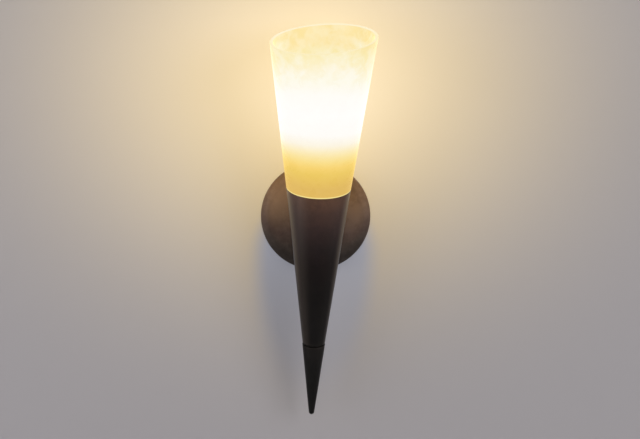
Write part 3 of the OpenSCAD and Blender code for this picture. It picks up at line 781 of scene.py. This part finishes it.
# The lamp lights the middle of the glass nearly white. Below, the glass stays amber, and near the rim it is a
# clouded yellow. The glow follows a level that leans back, and is narrower to the sides of the lamp. It differs
# outside and inside the wall, and the inside is paler at both ends of the rim.
level_back = math.radians(4)
level = mix.node("VectorMath", {"operation": "DOT_PRODUCT"}, {
    0: mix.node("VectorMath", {"operation": "SUBTRACT"}, {0: mix.own_place(), 1: torch_mouth}),
    1: (0, math.sin(level_back), math.cos(level_back)),
}, 1)
lamp_middle, narrowing, glow_length = 0.09, 50, 0.2
level = level + (level - lamp_middle) * (x * x) * narrowing
along_glow = level / glow_length
outer_glow = mix.node("ValToRGB", {"stops": [
    (0.015, (0.685, 0.435, 0.090)),
    (0.055, (0.730, 0.480, 0.090)),
    (0.101, (0.780, 0.535, 0.095)),
    (0.141, (0.865, 0.605, 0.140)),
    (0.170, (0.885, 0.670, 0.210)),
    (0.199, (0.895, 0.725, 0.310)),
    (0.234, (0.905, 0.790, 0.485)),
    (0.274, (0.910, 0.860, 0.735)),
    (0.332, (0.930, 0.920, 0.900)),
    (0.447, (0.940, 0.935, 0.930)),
    (0.562, (0.930, 0.920, 0.890)),
    (0.649, (0.915, 0.895, 0.770)),
    (0.706, (0.915, 0.868, 0.700)),
    (0.752, (0.905, 0.840, 0.600)),
    (0.794, (0.895, 0.815, 0.530)),
    (0.860, (0.890, 0.775, 0.450)),
]}, {0: along_glow})
inner_glow = mix.node("ValToRGB", {"stops": [
    (0.05, (0.70, 0.50, 0.20)),
    (0.25, (0.82, 0.70, 0.46)),
    (0.45, (0.86, 0.77, 0.60)),
    (0.65, (0.875, 0.800, 0.630)),
    (0.72, (0.870, 0.800, 0.560)),
    (0.77, (0.870, 0.780, 0.470)),
    (0.81, (0.880, 0.740, 0.405)),
    (0.88, (0.880, 0.735, 0.395)),
]}, {0: along_glow})
paler_ends = mix.band(x * x, 0.0010, 0.0019) * mix.band(height, 0.167, 0.158) * 0.6
inner_glow = mix.blend(paler_ends, inner_glow, (0.865, 0.855, 0.66))
inside = mix.band(off_axis(x, y) - height * glass_flare, 0.0348, 0.0338)
glow = mix.blend(inside, outer_glow, inner_glow)
veil = mix.blend(cloud, (1.0, 0.965, 0.82), (1.0, 1.025, 1.13))
glow = mix.blend(mix.band(level, 0.110, 0.160), glow, veil, "MULTIPLY")
# The cut rim, where it faces up, has a painted light of its own, a little paler towards the wall.
facing = mix.node("TexCoord", {}, {}, "Normal")
upward = mix.node("VectorMath", {"operation": "DOT_PRODUCT"}, {0: facing, 1: torch_up}, 1)
rim = mix.band(upward, 0.35, 0.85) * mix.band(height, 0.150, 0.155)
cut_glow = mix.blend(mix.band(y, -0.010, 0.035), (0.885, 0.790, 0.505), (0.900, 0.825, 0.600))
glow = mix.blend(rim, glow, cut_glow)
# The foot of the glass carries a painted line of yellow light along its lowest 2 mm.
glow = mix.blend(mix.band(height, 0.0022, 0.0010), glow, (0.90, 0.75, 0.28))
glass.data.materials.append(mix.coat({
    "Base Color": mix.blend(cloud, (0.095, 0.070, 0.035), (0.115, 0.095, 0.060)),
    "Roughness": 0.24 + cloud * 0.10 + rim * 0.3,
    "Specular IOR Level": 0.15,
    "Emission Color": glow,
    "Emission Strength": 1,
    "Normal": mix.bump(wisps, 0.00005),
}))
smoothed(glass)
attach(glass, "glass")
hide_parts("glass_shade")

# The lampholder: a porcelain body with a brass bushing, a moulded disc, a brass screw shell and its contacts.
mix = Finish("glazed_porcelain")
mottle = mix.noise(mix.own_place(), 90, 3)
coated(mix.coat({
    "Base Color": mix.blend(mottle, (0.84, 0.82, 0.76), (0.92, 0.91, 0.87)),
    "Roughness": 0.12 + mottle * 0.08,
    "Coat Weight": 0.5,
    "Normal": mix.bump(mottle, 0.00005),
}), "lampholder_body")
mix = Finish("rolled_brass")
tarnish = mix.noise(mix.own_place(), 180, 4, 0.6)
coated(mix.coat({
    "Base Color": mix.blend(mix.band(tarnish, 0.4, 0.7), (0.86, 0.64, 0.28), (0.50, 0.34, 0.14)),
    "Metallic": 1.0,
    "Roughness": 0.2 + tarnish * 0.25,
    "Normal": mix.bump(tarnish, 0.00002),
}), "holder_bushing", "screw_shell", "centre_contact")


# The shade ring and the disc under the contacts: moulded dark phenolic with a faint swirl. The bushings and the
# jackets of the leads are plastic.
def moulded(name, dark, light, dullness):
    mix = Finish(name)
    swirl = mix.noise(mix.own_place(), 70, 5, 0.55)
    skin = mix.noise(mix.own_place(), 1200, 2)
    return mix.coat({
        "Base Color": mix.blend(swirl, dark, light),
        "Roughness": dullness + swirl * 0.15,
        "Normal": mix.bump(skin, 0.00001),
    })


for name, dark, light, dullness, nodes in (
    ("brown_phenolic", (0.030, 0.020, 0.016), (0.062, 0.040, 0.030), 0.28, ("shade_ring", "contact_disc")),
    ("bushing_nylon", (0.74, 0.72, 0.64), (0.84, 0.83, 0.78), 0.34, ("nipple_bushings",)),
    ("black_wire_jacket", (0.012, 0.012, 0.013), (0.028, 0.028, 0.030), 0.36, ("lead_black",)),
    ("white_wire_jacket", (0.76, 0.75, 0.72), (0.88, 0.88, 0.86), 0.36, ("lead_white",)),
):
    coated(moulded(name, dark, light, dullness), *nodes)


# The soft rings: grey felt under the glass, and red-brown vulcanised fibre under the shade ring.
def fibrous(name, dark, light, scale):
    mix = Finish(name)
    layered = mix.node("Mapping", {}, {"Vector": mix.own_place(), "Scale": (1, 1, 3)})
    fibres = mix.noise(layered, scale, 6, 0.75)
    return mix.coat({
        "Base Color": mix.blend(mix.band(fibres, 0.3, 0.7), dark, light),
        "Roughness": 0.88,
        "Normal": mix.bump(fibres, 0.0002),
    })


coated(fibrous("grey_felt", (0.16, 0.15, 0.14), (0.38, 0.37, 0.35), 1400), "glass_felt")
coated(fibrous("red_fibre", (0.20, 0.08, 0.045), (0.36, 0.17, 0.10), 700), "ring_washer")

# The lamp: a frosted globe, lit, on a rolled screw cap with a black glass insulator and a solder contact. The
# globe glows most at its top, and turns amber towards the neck.
mix = Finish("lit_frosted_glass")
frost = mix.noise(mix.own_place(), 240, 3)
lamp_glow = mix.node("ValToRGB", {"stops": [
    (0.36, (0.36, 0.24, 0.11)),
    (0.60, (0.44, 0.33, 0.19)),
    (0.76, (0.50, 0.40, 0.25)),
    (0.88, (0.60, 0.51, 0.35)),
    (0.97, (0.76, 0.69, 0.52)),
]}, {0: parted(torch_place(mix))[2] / 0.11})
globe_middle, globe_radius, globe_wall = (0, 83.3), 24, 0.8
neck_middle, neck_radius = (42.2, 49.61), 30
globe_outline = (
    [(11.4, 40.5), (12.2, 40.5)]
    + rounded(neck_middle, neck_radius, 180, 141.4, 10)
    + rounded(globe_middle, globe_radius, -38, 90, 24)
    + rounded(globe_middle, globe_radius - globe_wall, 90, -38, 24)
    + rounded(neck_middle, neck_radius + globe_wall, 141.4, 180, 10)
)
globe = settled(turned("lit_globe", globe_outline, 96), torch_mouth, up_the_torch)
globe.data.materials.append(mix.coat({
    "Base Color": mix.blend(frost, (0.34, 0.30, 0.24), (0.40, 0.36, 0.30)),
    "Roughness": 0.35 + frost * 0.15,
    "Emission Color": mix.blend(frost * 0.12, lamp_glow, (1, 1, 1)),
    "Emission Strength": 1.0,
    "Normal": mix.bump(frost, 0.00003),
}))
smoothed(globe)
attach(globe, "lamp")
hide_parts("lamp_globe")
coated(threaded("rolled_cap_aluminium", (0.74, 0.73, 0.70), torch_mouth, up_the_torch,
                pitch=0.00363, depth=0.0008, valley=0.72), "lamp_cap")
mix = Finish("solder_dot")
dross = mix.noise(mix.own_place(), 600, 3)
coated(mix.coat({
    "Base Color": mix.blend(dross, (0.60, 0.59, 0.56), (0.78, 0.77, 0.74)),
    "Metallic": 1.0,
    "Roughness": 0.22 + dross * 0.2,
    "Normal": mix.bump(dross, 0.00002),
}), "lamp_eyelet")
coated(moulded("black_cap_glass", (0.015, 0.017, 0.020), (0.035, 0.038, 0.042), 0.08), "lamp_insulator")
mix = Finish("clear_stem_glass")
seeds = mix.noise(mix.own_place(), 300, 2)
coated(mix.coat({
    "Base Color": mix.blend(seeds, (0.80, 0.86, 0.84), (0.90, 0.94, 0.93)),
    "Roughness": 0.05 + seeds * 0.05,
    "Alpha": 0.45 + seeds * 0.1,
}), "lamp_stem")
mix = Finish("hot_tungsten")
coil = mix.noise(mix.own_place(), 1800, 2)
coated(mix.coat({
    "Base Color": mix.blend(coil, (0.55, 0.40, 0.25), (0.80, 0.60, 0.35)),
    "Metallic": 0.9,
    "Roughness": 0.4,
    "Emission Color": mix.blend(coil, (1.0, 0.60, 0.25), (1.0, 0.85, 0.55)),
    "Emission Strength": 1.0,
    "Normal": mix.bump(coil, 0.0001),
}), "lamp_filament")
